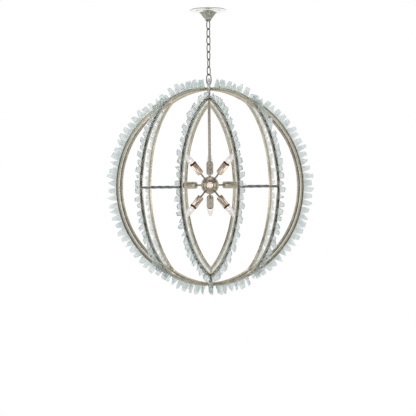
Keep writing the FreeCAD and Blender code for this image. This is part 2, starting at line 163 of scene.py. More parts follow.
# Stem, ball, arms and lamps; heights run along a lamp's axis from the ball's centre
STEM_RADIUS = 6.35
STEM_BORE = 4.6
BALL_RADIUS = 39.0
BALL_FLAT = 38.0
ARM_RADIUS = 3.8
CUP_BASE = 67.0
CUP_LENGTH = 59.0
CUP_RIM = CUP_BASE + CUP_LENGTH
CUP_RADIUS = 15.5
CUP_INSIDE = CUP_RADIUS - 1.0
CUP_FOOT = 8.5
CUP_FLOOR = CUP_BASE + 7.5
CUP_PAINTED_SHADE_RIM = 1.5
HOLDER_RADIUS = 10.0
HOLDER_MOUTH = CUP_RIM - 17.0
CAP_GAP = 0.3
CAP_RADIUS = 6.0
CAP_LENGTH = 18.0
CAP_CREST = 5.9
CAP_ROOT = 5.3
CAP_PITCH = 2.4
CAP_RIDGES = 5
GLASS_RADIUS = 14.0
GLASS_LENGTH = 78.0
GLASS_FOOT = HOLDER_MOUTH + 1.0
GLASS_WALL = 0.7
GLASS_SHAPE = [(0.0, 0.40), (0.07, 0.44), (0.17, 0.66), (0.28, 0.92), (0.40, 0.98), (0.54, 0.94),
               (0.70, 0.81), (0.84, 0.60), (0.93, 0.40), (0.985, 0.18), (1.0, 0.0)]
NECK_SHADE = CUP_RIM + 5.0
PRESS_FOOT = HOLDER_MOUTH + 2.2
PRESS_SHAPE = [(0, 0), (4.6, 0), (3.0, 6), (2.0, 11), (1.2, 15), (0, 17)]
LEAD_PATH = [(0.8, 14), (3.0, 26), (3.4, 32)]
ZIGZAG_POINTS = 9
ZIGZAG_REACH = 3.4
ZIGZAG_SWAY = 1.2
ZIGZAG_RISE = 4
ZIGZAG_LOW = 32
WIRE_RADIUS = 0.18
WIRE_CORNERS = (0.4, 2.5, 4.6)

# Lamps: direction round the ball, and tilt
LAMP_TILT = 48.0
OUTER = (60.0, 180.0, -60.0)
INNER = (0.0, 120.0, -120.0)
LAMPS = ([(a, LAMP_TILT) for a in OUTER] + [(a, 0.0) for a in INNER]
         + [(a, -LAMP_TILT) for a in OUTER])
LAMP_NAMES = ["%s_%d" % (tier, k + 1) for tier in ("upper", "middle", "lower") for k in range(3)]

# Mesh fineness; edges sharper than the crease, in degrees, stay crisp
CREASE = 32.0
WIRE_SIDES = 14
WIRE_STEPS = 44
SIDE_STEPS = 96
POLAR_STEPS = 24
ROD_STEPS = 60

# Stage, in metres: floor (reach, front, back, height), backdrop (reach, depth, low, high)
FLOOR = (4, -4, 3.2, -2.7)
BACKDROP = (21, 7.5, -5.3, 10.4)
STAGE_COLOUR = (0.9, 0.9, 0.9)
GLOW_RADIUS = 0.17

# The photograph's frame: pixel of the orb's centre, and focal length in pixels
IMAGE = 416
FOCAL = 1080.0
CENTRE_X = 209.9
CENTRE_Y = 186.6
CAMERA_DISTANCE = 4.72
CAMERA_RISE = 0.02
CAMERA_ROLL = 0.6
CAMERA_YAW = 0.12
SENSOR = 36.0


# Mesh helpers

def link_object(name, data):
    thing = bpy.data.objects.new(name, data)
    bpy.context.scene.collection.objects.link(thing)
    return thing


def new_object(name, bm, crease):
    """Object from a bmesh drawn in millimetres, smooth except at corners."""
    bmesh.ops.recalc_face_normals(bm, faces=bm.faces)
    limit = math.radians(crease)
    for face in bm.faces:
        face.smooth = True
    for edge in bm.edges:
        edge.smooth = len(edge.link_faces) == 2 and edge.calc_face_angle(0) < limit
    mesh = bpy.data.meshes.new(name)
    bm.to_mesh(mesh)
    bm.free()
    mesh.transform(Matrix.Scale(MM, 4))
    return link_object(name, mesh)


def add_piece(bm, name, body, slot, *materials, stands=True, crease=CREASE):
    """Visible piece that rides on a body and, if it stands for one, hides the node of its name."""
    thing = new_object(name + "_look", bm, crease)
    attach(thing, body)
    if stands:
        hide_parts(name)
    for material in materials:
        thing.data.materials.append(material)


def skin(bm, rings, closed=False, capped=True):
    """Quads between matching rings of points; returns the rings' vertices."""
    made = [[bm.verts.new(p) for p in ring] for ring in rings]
    spans = list(zip(made, made[1:]))
    if closed:
        spans.append((made[-1], made[0]))
    count = len(made[0])
    for near, far in spans:
        for k in range(count):
            nxt = (k + 1) % count
            bm.faces.new((near[k], near[nxt], far[nxt], far[k]))
    if not closed and capped:
        bm.faces.new(list(reversed(made[0])))
        bm.faces.new(made[-1])
    return made


def circle(radius, z, sides):
    angles = [2 * math.pi * k / sides for k in range(sides)]
    return [Vector((radius * math.cos(a), radius * math.sin(a), z)) for a in angles]


def lathe(profile, sides, closed=False):
    """Turn (radius, height) points round Z; a radius of zero closes the end."""
    bm = bmesh.new()
    start = 0
    if profile[0][0] == 0:
        pole = bm.verts.new((0, 0, profile[0][1]))
        start = 1
    stop = len(profile)
    if profile[-1][0] == 0:
        stop -= 1
    rings = skin(bm, [circle(r, z, sides) for r, z in profile[start:stop]], closed, False)
    if start:
        for k in range(sides):
            bm.faces.new((pole, rings[0][(k + 1) % sides], rings[0][k]))
    if stop < len(profile):
        top = bm.verts.new((0, 0, profile[-1][1]))
        for k in range(sides):
            bm.faces.new((top, rings[-1][k], rings[-1][(k + 1) % sides]))
    return bm


def thread(crest, root, first, pitch, count):
    """Ridges of a lathe profile from the first one downward, or upward at a negative pitch."""
    points = []
    for k in range(count):
        z = first - k * pitch
        points += [(crest, z), (root, z - pitch / 2)]
    return points


def smooth_profile(points, steps):
    """Catmull-Rom curve through (radius, height) points."""
    out = []
    for k in range(len(points) - 1):
        p0 = points[max(k - 1, 0)]
        p1 = points[k]
        p2 = points[k + 1]
        p3 = points[min(k + 2, len(points) - 1)]
        for s in range(steps):
            t = s / steps
            out.append(tuple(0.5 * (2 * b + (c - a) * t + (2 * a - 5 * b + 4 * c - d) * t * t
                                    + (3 * b - a - 3 * c + d) * t ** 3)
                             for a, b, c, d in zip(p0, p1, p2, p3)))
    out.append(points[-1])
    return [(max(r, 0.0), z) for r, z in out]


def rounded_section(width, depth, corners):
    """Cross-section, counter-clockwise: (across, outward); corners are (radius, points) each."""
    points = []
    for quarter, (sx, sy) in enumerate(((1, 1), (-1, 1), (-1, -1), (1, -1))):
        radius, count = corners[quarter]
        for k in range(count):
            a = math.radians(90.0 * quarter + 90.0 * k / (count - 1))
            points.append((sx * (width / 2 - radius) + radius * math.cos(a),
                           sy * (depth / 2 - radius) + radius * math.sin(a)))
    return points


def moved(bm, matrix):
    bmesh.ops.transform(bm, matrix=matrix, verts=bm.verts)
    return bm


def join(bm, part):
    """Add a finished bmesh to another, and free it."""
    mesh = bpy.data.meshes.new("part")
    part.to_mesh(mesh)
    part.free()
    bm.from_mesh(mesh)
    bpy.data.meshes.remove(mesh)


def gathered(parts):
    bm = bmesh.new()
    for part in parts:
        join(bm, part)
    return bm


def cut(bm, point, normal):
    """Keep what lies behind the plane, and close the cut."""
    geometry = list(bm.verts) + list(bm.edges) + list(bm.faces)
    done = bmesh.ops.bisect_plane(bm, geom=geometry, plane_co=point, plane_no=normal,
                                  clear_outer=True, dist=1e-5)
    edges = [e for e in done["geom_cut"] if isinstance(e, bmesh.types.BMEdge)]
    bmesh.ops.holes_fill(bm, edges=edges)


def in_leaf(leaf):
    """From a leaf's frame, whose X points outward, to the fixture's."""
    turn = Matrix.Rotation(math.radians(LEAF_STEP * leaf - 90.0), 4, "Z")
    return Matrix.Translation((0, 0, CENTRE_Z)) @ turn


def side_frame(sign):
    """From a bar hoop's own XZ plane to its place in the leaf's frame."""
    a = math.radians(SIDE_ANGLE)
    turn = Matrix.Rotation(sign * a, 4, "Z")
    shift = (PLANE_OFFSET * math.sin(a), -sign * PLANE_OFFSET * math.cos(a), 0)
    return Matrix.Translation(shift) @ turn


def lamp_frame(azimuth, tilt):
    """From the Z axis to a lamp's direction from the ball's centre."""
    lean = Matrix.Rotation(math.radians(90.0 - tilt), 4, "X")
    turn = Matrix.Rotation(math.radians(azimuth), 4, "Z")
    return Matrix.Translation((0, 0, HUB_Z)) @ turn @ lean


def tip_angle():
    """Angle on the side bar's ellipse at which it reaches the leaf's tip."""
    return math.acos(TIP_RADIUS * math.cos(math.radians(SIDE_ANGLE)) / SIDE_A)


def mitre_radius():
    """Distance from the axis at which side bars and polar bar meet."""
    angle = math.radians(SIDE_ANGLE)
    edge = BAR_WIDTH / 2
    return TIP_RADIUS - edge * math.sin(angle) + (edge - edge * math.cos(angle)) / math.tan(angle)


# Materials

def new_material(name):
    mat = bpy.data.materials.new(name)
    mat.use_nodes = True
    nodes = mat.node_tree.nodes
    nodes.clear()
    out = nodes.new("ShaderNodeOutputMaterial")
    bsdf = nodes.new("ShaderNodeBsdfPrincipled")
    mat.node_tree.links.new(bsdf.outputs[0], out.inputs[0])
    return mat, nodes, mat.node_tree.links, bsdf


def position(nodes):
    """Place in the object's own frame, in metres."""
    return nodes.new("ShaderNodeTexCoord").outputs["Object"]


def noise_node(nodes, links, coord, scale, detail, rough):
    tex = nodes.new("ShaderNodeTexNoise")
    tex.inputs["Scale"].default_value = scale
    tex.inputs["Detail"].default_value = detail
    tex.inputs["Roughness"].default_value = rough
    links.new(coord, tex.inputs["Vector"])
    return tex.outputs["Fac"]


def ramp(nodes, links, value, stops):
    """Colour ramp: stops are (position, (r, g, b))."""
    node = nodes.new("ShaderNodeValToRGB")
    band = node.color_ramp
    while len(band.elements) < len(stops):
        band.elements.new(0.5)
    for element, (place, colour) in zip(band.elements, stops):
        element.position = place
        element.color = (*colour, 1.0)
    links.new(value, node.inputs["Fac"])
    return node.outputs["Color"]


def three_tones(nodes, links, value, dark, mid, light):
    return ramp(nodes, links, value, [(0.3, dark), (0.5, mid), (0.72, light)])


def spread(nodes, links, value, low, high):
    node = nodes.new("ShaderNodeMapRange")
    node.inputs["To Min"].default_value = low
    node.inputs["To Max"].default_value = high
    links.new(value, node.inputs["Value"])
    return node.outputs["Result"]


def mix(nodes, links, factor, one, two, mode="MIX"):
    node = nodes.new("ShaderNodeMix")
    node.data_type = "RGBA"
    node.blend_type = mode
    for socket, value in ((0, factor), (6, one), (7, two)):
        if isinstance(value, float):
            node.inputs[socket].default_value = value
        elif isinstance(value, tuple):
            node.inputs[socket].default_value = (*value, 1.0)
        else:
            links.new(value, node.inputs[socket])
    return node.outputs[2]


def bump(nodes, links, height, strength, distance):
    node = nodes.new("ShaderNodeBump")
    node.inputs["Strength"].default_value = strength
    node.inputs["Distance"].default_value = distance
    links.new(height, node.inputs["Height"])
    return node.outputs["Normal"]


def rubbed_edges(nodes, links, tone, light, wear):
    """Lighter tone where the shape's corners stand out."""
    geometry = nodes.new("ShaderNodeNewGeometry")
    edge = ramp(nodes, links, geometry.outputs["Pointiness"],
                [(0.5, (0.0, 0.0, 0.0)), (0.56, (wear, wear, wear))])
    return mix(nodes, links, edge, tone, tuple(min(1.0, 1.25 * v) for v in light))


def aged_metal(name, dark, mid, light, metallic, rough, wear=0.5, scale=1.0, pits=0.7, relief=0.25):
    """Leafed metal: cloudy tone, rubbed corners, fine pits."""
    mat, nodes, links, bsdf = new_material(name)
    coord = position(nodes)
    cloud = noise_node(nodes, links, coord, 38.0 * scale, 5.0, 0.6)
    tone = three_tones(nodes, links, cloud, dark, mid, light)
    speck = noise_node(nodes, links, coord, 420.0 * scale, 3.0, 0.7)
    spots = ramp(nodes, links, speck, [(0.3, (0.55, 0.52, 0.48)), (0.46, (1.0, 1.0, 1.0))])
    tone = mix(nodes, links, pits, tone, spots, "MULTIPLY")
    tone = rubbed_edges(nodes, links, tone, light, wear)
    links.new(tone, bsdf.inputs["Base Color"])
    bsdf.inputs["Metallic"].default_value = metallic
    links.new(spread(nodes, links, cloud, rough - 0.1, rough + 0.14), bsdf.inputs["Roughness"])
    links.new(bump(nodes, links, speck, relief, 0.0006), bsdf.inputs["Normal"])
    return mat


def chip_material():
    """Clear, slightly green broken glass with a frosted, rippled face."""
    mat, nodes, links, bsdf = new_material("chip_glass")
    coord = position(nodes)
    cloud = noise_node(nodes, links, coord, 30.0, 3.0, 0.5)
    tone = ramp(nodes, links, cloud, [(0.3, (0.80, 0.864, 0.852)), (0.7, (0.89, 0.936, 0.927))])
    links.new(tone, bsdf.inputs["Base Color"])
    bsdf.inputs["Transmission Weight"].default_value = 0.82
    bsdf.inputs["IOR"].default_value = 1.18
    fine = noise_node(nodes, links, coord, 160.0, 3.0, 0.5)
    links.new(spread(nodes, links, fine, 0.2, 0.38), bsdf.inputs["Roughness"])
    wave = noise_node(nodes, links, coord, 70.0, 2.0, 0.4)
    links.new(bump(nodes, links, wave, 0.3, 0.003), bsdf.inputs["Normal"])
    return mat


def lamp_glass_material():
    """Thin clear glass with a faint warm tint."""
    mat, nodes, links, bsdf = new_material("lamp_glass")
    coord = position(nodes)
    cloud = noise_node(nodes, links, coord, 60.0, 2.0, 0.5)
    tone = ramp(nodes, links, cloud, [(0.3, (0.87, 0.855, 0.85)), (0.7, (0.92, 0.905, 0.90))])
    links.new(tone, bsdf.inputs["Base Color"])
    bsdf.inputs["Transmission Weight"].default_value = 1.0
    bsdf.inputs["IOR"].default_value = 1.18
    links.new(spread(nodes, links, cloud, 0.0, 0.03), bsdf.inputs["Roughness"])
    return mat


def toward_back(nodes, links, coord):
    """Zero in front of the ball's middle, rising to one a little behind it."""
    axes = nodes.new("ShaderNodeSeparateXYZ")
    links.new(coord, axes.inputs[0])
    depth = nodes.new("ShaderNodeMapRange")
    depth.inputs["From Min"].default_value = -0.01
    depth.inputs["From Max"].default_value = 0.04
    links.new(axes.outputs["Y"], depth.inputs["Value"])
    return depth.outputs["Result"]


def cup_material():
    """Copper-toned leaf, finely pitted: warmer toward the front of the fitting as a painted reflection
    of the lamps' warm light, greyer toward the back as painted shade, and duller there.
    """
    mat, nodes, links, bsdf = new_material("cup_copper")
    coord = position(nodes)
    cloud = noise_node(nodes, links, coord, 76.0, 5.0, 0.6)
    warm = three_tones(nodes, links, cloud, (0.55, 0.45, 0.355), (0.625, 0.52, 0.42), (0.72, 0.62, 0.52))
    back_painted_shade = three_tones(nodes, links, cloud, (0.42, 0.385, 0.30), (0.49, 0.45, 0.36), (0.58, 0.54, 0.44))
    # Front to back: painted warm reflection in front, painted shade behind
    back = toward_back(nodes, links, coord)
    links.new(mix(nodes, links, back, warm, back_painted_shade), bsdf.inputs["Base Color"])
    bsdf.inputs["Metallic"].default_value = 0.85
    duller = nodes.new("ShaderNodeMath")
    duller.operation = "MULTIPLY_ADD"
    duller.inputs[1].default_value = 0.18
    links.new(back, duller.inputs[0])
    links.new(spread(nodes, links, cloud, 0.2, 0.34), duller.inputs[2])
    links.new(duller.outputs[0], bsdf.inputs["Roughness"])
    speck = noise_node(nodes, links, coord, 700.0, 3.0, 0.7)
    links.new(bump(nodes, links, speck, 0.04, 0.0004), bsdf.inputs["Normal"])
    return mat


def simple_surface(name, one, two, rough, metallic=0.0, scale=120.0, depth=0.0003, glow=None):
    """Plain material of two close tones; the glow is (colour, strength)."""
    mat, nodes, links, bsdf = new_material(name)
    coord = position(nodes)
    cloud = noise_node(nodes, links, coord, scale, 4.0, 0.6)
    links.new(ramp(nodes, links, cloud, [(0.3, one), (0.7, two)]), bsdf.inputs["Base Color"])
    links.new(spread(nodes, links, cloud, rough - 0.06, rough + 0.1), bsdf.inputs["Roughness"])
    bsdf.inputs["Metallic"].default_value = metallic
    links.new(bump(nodes, links, cloud, 0.3, depth), bsdf.inputs["Normal"])
    if glow:
        bsdf.inputs["Emission Color"].default_value = (*glow[0], 1.0)
        bsdf.inputs["Emission Strength"].default_value = glow[1]
    return mat


frame_metal = aged_metal("frame_metal", (0.345, 0.312, 0.232), (0.475, 0.437, 0.333),
                         (0.64, 0.60, 0.485), 0.88, 0.22, pits=0.45, relief=0.12)
# Painted shade: near-black metal for the bars' outer faces, under the chips
seat_painted_shade = aged_metal("seat_painted_shade", (0.04, 0.045, 0.04), (0.08, 0.085, 0.072),
                        (0.15, 0.15, 0.125), 0.4, 0.45, wear=0.1)
hardware_metal = aged_metal("hardware_metal", (0.08, 0.072, 0.05), (0.18, 0.165, 0.125),
                            (0.34, 0.32, 0.26), 0.85, 0.32, scale=2.0)
canopy_metal = aged_metal("canopy_metal", (0.20, 0.195, 0.15), (0.38, 0.37, 0.30),
                          (0.68, 0.67, 0.60), 0.88, 0.16, pits=0.5, relief=0.08)
rod_iron = aged_metal("rod_iron", (0.08, 0.09, 0.09), (0.16, 0.175, 0.175),
                      (0.32, 0.34, 0.34), 0.8, 0.35, scale=2.0)
stem_metal = aged_metal("stem_metal", (0.38, 0.325, 0.265), (0.49, 0.43, 0.36),
                        (0.63, 0.57, 0.49), 0.85, 0.25, scale=2.0, pits=0.5, relief=0.12)
ball_metal = aged_metal("ball_metal", (0.18, 0.16, 0.105), (0.35, 0.315, 0.235),
                        (0.58, 0.53, 0.42), 0.8, 0.36, scale=3.0)
rim_metal = simple_surface("rim_metal", (0.50, 0.50, 0.47), (0.60, 0.60, 0.57),
                           0.16, 1.0, 20.0, 0.00002)
plate_metal = simple_surface("plate_metal", (0.84, 0.84, 0.81), (0.93, 0.93, 0.91),
                             0.12, 1.0, 40.0, 0.00002)
# Painted shade: near-black for the cups' insides and the band at their mouths
cup_inside_painted_shade = simple_surface("cup_inside_painted_shade", (0.015, 0.010, 0.008), (0.035, 0.022, 0.016), 0.6)
holder_plastic = simple_surface("holder_plastic", (0.34, 0.23, 0.19), (0.46, 0.33, 0.28), 0.45)
cap_metal = simple_surface("cap_metal", (0.62, 0.60, 0.56), (0.80, 0.78, 0.74), 0.25, 0.95)
bracket_steel = simple_surface("bracket_steel", (0.42, 0.42, 0.40), (0.56, 0.56, 0.54), 0.4, 0.9)
nipple_brass = simple_surface("nipple_brass", (0.46, 0.36, 0.16), (0.60, 0.48, 0.24), 0.35, 0.9)
# Painted shade: dark neck of the lamp glass, standing in for the shade inside the cup's mouth
lamp_neck_painted_shade = simple_surface("lamp_neck_painted_shade", (0.05, 0.03, 0.022), (0.10, 0.06, 0.045), 0.35)
# Painted light: the stem press and the inside of the glass neck glow faintly pink, standing in for warm
# light and copper reflected inside the bulbs
press_painted_glow = simple_surface("press_painted_glow", (0.70, 0.62, 0.58), (0.84, 0.77, 0.73), 0.3,
                             glow=((1.0, 0.85, 0.81), 0.4))
lit_wire = simple_surface("lit_wire", (0.9, 0.8, 0.6), (1.0, 0.9, 0.7), 0.5,
                          glow=((1.0, 0.86, 0.66), 2.0))
cup_copper = cup_material()
chip_glass = chip_material()
lamp_glass = lamp_glass_material()


# Leaf frames

def bar_hoop(half_x, half_z, start, stop, steps):
    """Bar bent along an ellipse in the XZ plane; its outer face, where the chips sit, is painted dark as
    shade under the glass.
    """
    bm = bmesh.new()
    crisp = (BAR_OUTER_ROUND, 3)
    rubbed = (BAR_INNER_ROUND, 6)
    section = rounded_section(BAR_WIDTH, BAR_DEPTH, (crisp, crisp, rubbed, rubbed))
    rings = []
    for k in range(steps + 1):
        a = start + (stop - start) * k / steps
        rings.append([Vector(((half_x + d) * math.cos(a), y, (half_z + d) * math.sin(a)))
                      for y, d in section])
    skin(bm, rings)
    corners = len(section)
    # The outer face and its corners take the painted shade
    outward = {k for k in range(corners)
               if section[k][1] + section[(k + 1) % corners][1] > BAR_DEPTH - BAR_FACE_EDGE}
    for k, face in enumerate(list(bm.faces)[:steps * corners]):
        if k % corners in outward:
            face.material_index = 1
    return bm


def side_bar(sign):
    """Bar of a leaf's side, made long, then cut to its neighbour and to the polar bars."""
    tip = tip_angle() + 1.5 * BAR_DEPTH / SIDE_B
    bm = moved(bar_hoop(SIDE_A, SIDE_B, -tip, tip, SIDE_STEPS), side_frame(sign))
    cut(bm, (mitre_radius(), 0, 0), (-1, 0, 0))
    cut(bm, (0, 0, 0), (0, -sign, 0))
    return bm


def polar_bar(sign):
    """Bar from a leaf's tip to the pole boss, made long, then cut upright at both ends."""
    outer = math.acos(mitre_radius() / ORB_RADIUS) - BAR_DEPTH / ORB_HEIGHT
    bm = bar_hoop(ORB_RADIUS, ORB_HEIGHT, sign * outer, sign * math.pi / 2, POLAR_STEPS)
    cut(bm, (mitre_radius(), 0, 0), (1, 0, 0))
    cut(bm, (POLE_APOTHEM, 0, 0), (-1, 0, 0))
    return bm


def equator_rod():
    """Square rod, twisted along Y."""
    bm = bmesh.new()
    half = PLANE_OFFSET - BAR_WIDTH / 2
    section = rounded_section(ROD_SIZE, ROD_SIZE, ((ROD_ROUND, 3),) * 4)
    rings = []
    for k in range(ROD_STEPS + 1):
        turn = math.radians(ROD_TURN * k / ROD_STEPS)
        c, s = math.cos(turn), math.sin(turn)
        y = half * (2.0 * k / ROD_STEPS - 1)
        rings.append([Vector((SIDE_A + x * c - z * s, y, x * s + z * c)) for x, z in section])
    skin(bm, rings)
    return bm


def pole_boss(sign):
    """Six-sided block in which the polar bars end."""
    bm = bmesh.new()
    middle = sign * ORB_HEIGHT
    outer = POLE_APOTHEM / math.cos(math.pi / 6)
    skin(bm, [circle(outer, middle + half, 6) for half in (-BAR_DEPTH / 2, BAR_DEPTH / 2)])
    bmesh.ops.bevel(bm, geom=list(bm.edges), offset=POLE_BEVEL, segments=2, affect="EDGES")
    return moved(bm, Matrix.Translation((0, 0, CENTRE_Z)))


def build_frames():
    for leaf in range(LEAVES):
        for sign, side in ((-1, "left"), (1, "right")):
            add_piece(moved(side_bar(sign), in_leaf(leaf)), "leaf_%d_bar_%s" % (leaf + 1, side),
                      "orb", "frame_metal", frame_metal, seat_painted_shade)
    for sign, place in ((1, "top"), (-1, "bottom")):
        bars = gathered(moved(polar_bar(sign), in_leaf(leaf)) for leaf in range(LEAVES))
        add_piece(bars, "polar_bars_" + place, "orb", "frame_metal", frame_metal, seat_painted_shade)
        add_piece(pole_boss(sign), "pole_boss_" + place, "orb", "frame_metal", frame_metal)
    rods = gathered(moved(equator_rod(), in_leaf(leaf + 0.5)) for leaf in range(LEAVES))
    add_piece(rods, "equator_rods", "orb", "rod_iron", rod_iron)


# Glass chips

def chip_outline(rng, tall):
    """Outline of one chip on a flat foot, as in the construction model."""
    height = tall * rng.uniform(*CHIP_HEIGHT)
    lean = rng.uniform(-CHIP_LEAN, CHIP_LEAN) * height
    kind = rng.random()
    foot = CHIP_PITCH * rng.uniform(*CHIP_FOOT)
    base = [(-foot / 2, 0), (foot / 2, 0)]
    if kind < POINTED_BELOW:
        return base + [(lean, height)]
    width = foot * rng.uniform(*CHIP_TOP)
    slant = rng.uniform(-CHIP_SLANT, CHIP_SLANT) * height
    top = [(lean + width / 2, height - max(slant, 0)), (lean - width / 2, height + min(slant, 0))]
    if kind < SHOULDERED_ABOVE:
        return base + top
    shoulder = (foot * rng.uniform(*CHIP_SHOULDER), height * rng.uniform(*CHIP_SHOULDER_HEIGHT))
    return base + [shoulder] + top


def blunted(back, here, ahead, room, rng):
    """Three points that take a corner off."""
    clip = min(rng.uniform(*CORNER_CLIP), room * (back - here).length, room * (ahead - here).length)
    one = here + (back - here).normalized() * clip
    two = here + (ahead - here).normalized() * clip
    return [one, (one + two) * 0.25 + here * 0.5, two]


def broken_edge(outline, rng):
    """The outline with blunted corners and uneven sides, as knapped glass has."""
    corners = [Vector(p) for p in outline]
    count = len(corners)
    room = CLIP_ROOM if count > 3 else POINTED_CLIP_ROOM
    points = [corners[0], corners[1]]
    for k in range(1, count):
        here = corners[k]
        ahead = corners[(k + 1) % count]
        if k > 1:
            points += blunted(corners[k - 1], here, ahead, room, rng)
        side = ahead - here
        if abs(side.y) > LONG_SIDE:
            swell = rng.uniform(*LONG_SWELL) * side.length
        else:
            swell = rng.uniform(*SHORT_SWELL)
        push = side.normalized() * swell
        for part in SWELL_AT:
            out = Vector((push.y, -push.x)) * rng.uniform(*SWELL_SPREAD)
            points.append(here.lerp(ahead, part) + out)
    return [(p.x, max(p.y, 0.0)) for p in points]


def chip_ring(edge, cx, cz, reach, inset, rng):
    """The broken edge drawn unevenly toward its centre and out to one side; the foot stays flat."""
    ring = []
    for x, z in edge:
        pull = inset * rng.uniform(*INSET_SPREAD)
        dx, dz = cx - x, cz - z
        far = math.hypot(dx, dz)
        rise = 0.0 if z == 0 else dz / far * pull
        ring.append(Vector((x + dx / far * pull, reach * rng.uniform(*LEVEL_SPREAD), z + rise)))
    return ring


def chip_mesh(outline, rng):
    """Chip in X (along the bar), Z (out) and Y (thickness), with knapped, uneven edges."""
    bm = bmesh.new()
    edge = broken_edge(outline, rng)
    cx = sum(x for x, z in edge) / len(edge)
    cz = sum(z for x, z in edge) / len(edge)
    half = CHIP_THICK / 2
    made = skin(bm, [chip_ring(edge, cx, cz, side * half * level, inset, rng)
                     for side, level, inset in CHIP_RINGS], capped=False)
    for ring, side in ((made[0], -1), (made[-1], 1)):
        middle = bm.verts.new((cx + rng.uniform(*MIDDLE_ACROSS),
                               side * half * rng.uniform(*MIDDLE_LEVEL),
                               cz + rng.uniform(*MIDDLE_UP)))
        for k in range(len(ring)):
            bm.faces.new((middle, ring[k], ring[(k + 1) % len(ring)]))
    return bm


def chip_row(half_x, half_z, start, stop, rng, shape_rng, taper, twist_of):
    """Chips along one bar, each turned a little about its own upright."""
    count = max(1, round(abs(stop - start) * half_z / CHIP_PITCH))
    for k in range(count):
        share = (k + 0.5 + rng.uniform(-CHIP_JITTER, CHIP_JITTER)) / count
        angle = start + (stop - start) * share
        foot = Vector(((half_x + BAR_DEPTH / 2) * math.cos(angle), 0,
                       (half_z + BAR_DEPTH / 2) * math.sin(angle)))
        out = Vector((math.cos(angle) / half_x, 0, math.sin(angle) / half_z)).normalized()
        side = Vector((0, 1, 0)).cross(out)
        tall = 1 - taper * abs(2 * share - 1) ** 3
        layer = CHIP_LAYER if k % 2 else -CHIP_LAYER
        part = chip_mesh(chip_outline(rng, tall), shape_rng)
        basis = Matrix((side, Vector((0, 1, 0)), out)).transposed().to_4x4()
        basis = basis @ Matrix.Rotation(math.radians(twist_of(share, k, shape_rng)), 4, "Z")
        shift = Matrix.Translation(foot + out * CHIP_SEAT + Vector((0, layer, 0)))
        yield part, shift @ basis


def side_twist(leaf, sign):
    """Toward a leaf's tips the chips turn their broad faces to the fixture's front and back."""
    plane = math.radians(LEAF_STEP * leaf - 90.0 + sign * SIDE_ANGLE)
    turn = TIP_TURN * math.sin(2 * plane)

    def twist_of(share, k, rng):
        along = 2 * share - 1
        jitter = rng.uniform(-TURN_JITTER, TURN_JITTER)
        return turn * math.copysign(abs(along) ** 1.5, along) + jitter
    return twist_of


def polar_twist(sign):
    """Nearly true to the leaf at the top, freely turned at the bottom."""
    low, high = TOP_TURN if sign > 0 else BOTTOM_TURN

    def twist_of(share, k, rng):
        return (-1) ** k * rng.uniform(low, high)
    return twist_of


def leaf_chips(leaf):
    """Chips of both side bars, then of the upper and lower polar bars, each in its place."""
    rng = random.Random(11 + leaf)
    shape_rng = random.Random(501 + leaf)
    tip = tip_angle() - CHIP_START / SIDE_B
    near = math.acos(CHIP_POLE_START / ORB_RADIUS)
    far = math.acos((TIP_RADIUS - CHIP_TIP_STOP) / ORB_RADIUS)
    home = in_leaf(leaf)
    for sign in (-1, 1):
        for part, place in chip_row(SIDE_A, SIDE_B, -tip, tip, rng, shape_rng,
                                    CHIP_TAPER, side_twist(leaf, sign)):
            yield moved(part, home @ side_frame(sign) @ place)
    for sign in (-1, 1):
        for part, place in chip_row(ORB_RADIUS, ORB_HEIGHT, sign * far, sign * near, rng, shape_rng,
                                    0, polar_twist(sign)):
            yield moved(part, home @ place)


def build_glass():
    for leaf in range(LEAVES):
        add_piece(gathered(leaf_chips(leaf)), "leaf_%d_glass" % (leaf + 1), "orb",
                  "chip_glass", chip_glass, crease=20.0)


# Chain

def wire_ring(width, thickness, top, low, turn, curve=LINK_CURVE):
    """Oval ring of round wire; top and low are the wire's centre heights at the ends."""
    bm = bmesh.new()
    across = Vector((math.cos(math.radians(turn)), math.sin(math.radians(turn)), 0))
    normal = across.cross(Vector((0, 0, 1)))
    wide = (width - thickness) / 2
    high = (top - low) / 2
    path = []
    for k in range(WIRE_STEPS):
        a = 2 * math.pi * (k + 0.5) / WIRE_STEPS
        x = math.copysign(abs(math.cos(a)) ** curve, math.cos(a))
        z = math.copysign(abs(math.sin(a)) ** curve, math.sin(a))
        path.append(across * (wide * x) + Vector((0, 0, low + high * (1 + z))))
    rings = []
    for k in range(WIRE_STEPS):
        along = (path[(k + 1) % WIRE_STEPS] - path[k - 1]).normalized()
        outward = normal.cross(along)
        rings.append([path[k] + (outward * math.cos(b) + normal * math.sin(b)) * thickness / 2
                      for b in [2 * math.pi * j / WIRE_SIDES for j in range(WIRE_SIDES)]])
    skin(bm, rings, closed=True)
    return bm


def eye(pivot):
    """Ring under the hanging link, with its foot on the top boss and its shank inside."""
    centre = -pivot + BIG_WIRE / 2 + HINGE_GAP - EYE_RADIUS + EYE_WIRE / 2
    ring = wire_ring(2 * EYE_RADIUS + EYE_WIRE, EYE_WIRE, centre + EYE_RADIUS,
                     centre - EYE_RADIUS, BIG_TURN + 90, 1.0)
    seat = centre - EYE_RADIUS - EYE_WIRE / 2 - EYE_FOOT_EDGE
    join(ring, lathe([(0, seat), (EYE_FOOT, seat), (EYE_FOOT, seat + EYE_FOOT_EDGE),
                      (3.2, seat + 2.2), (0, seat + 2.4)], 24))
    low = seat - SHANK_LENGTH
    join(ring, lathe([(0, low), (SHANK_RADIUS, low), (SHANK_RADIUS, seat), (0, seat)], 20))
    return ring


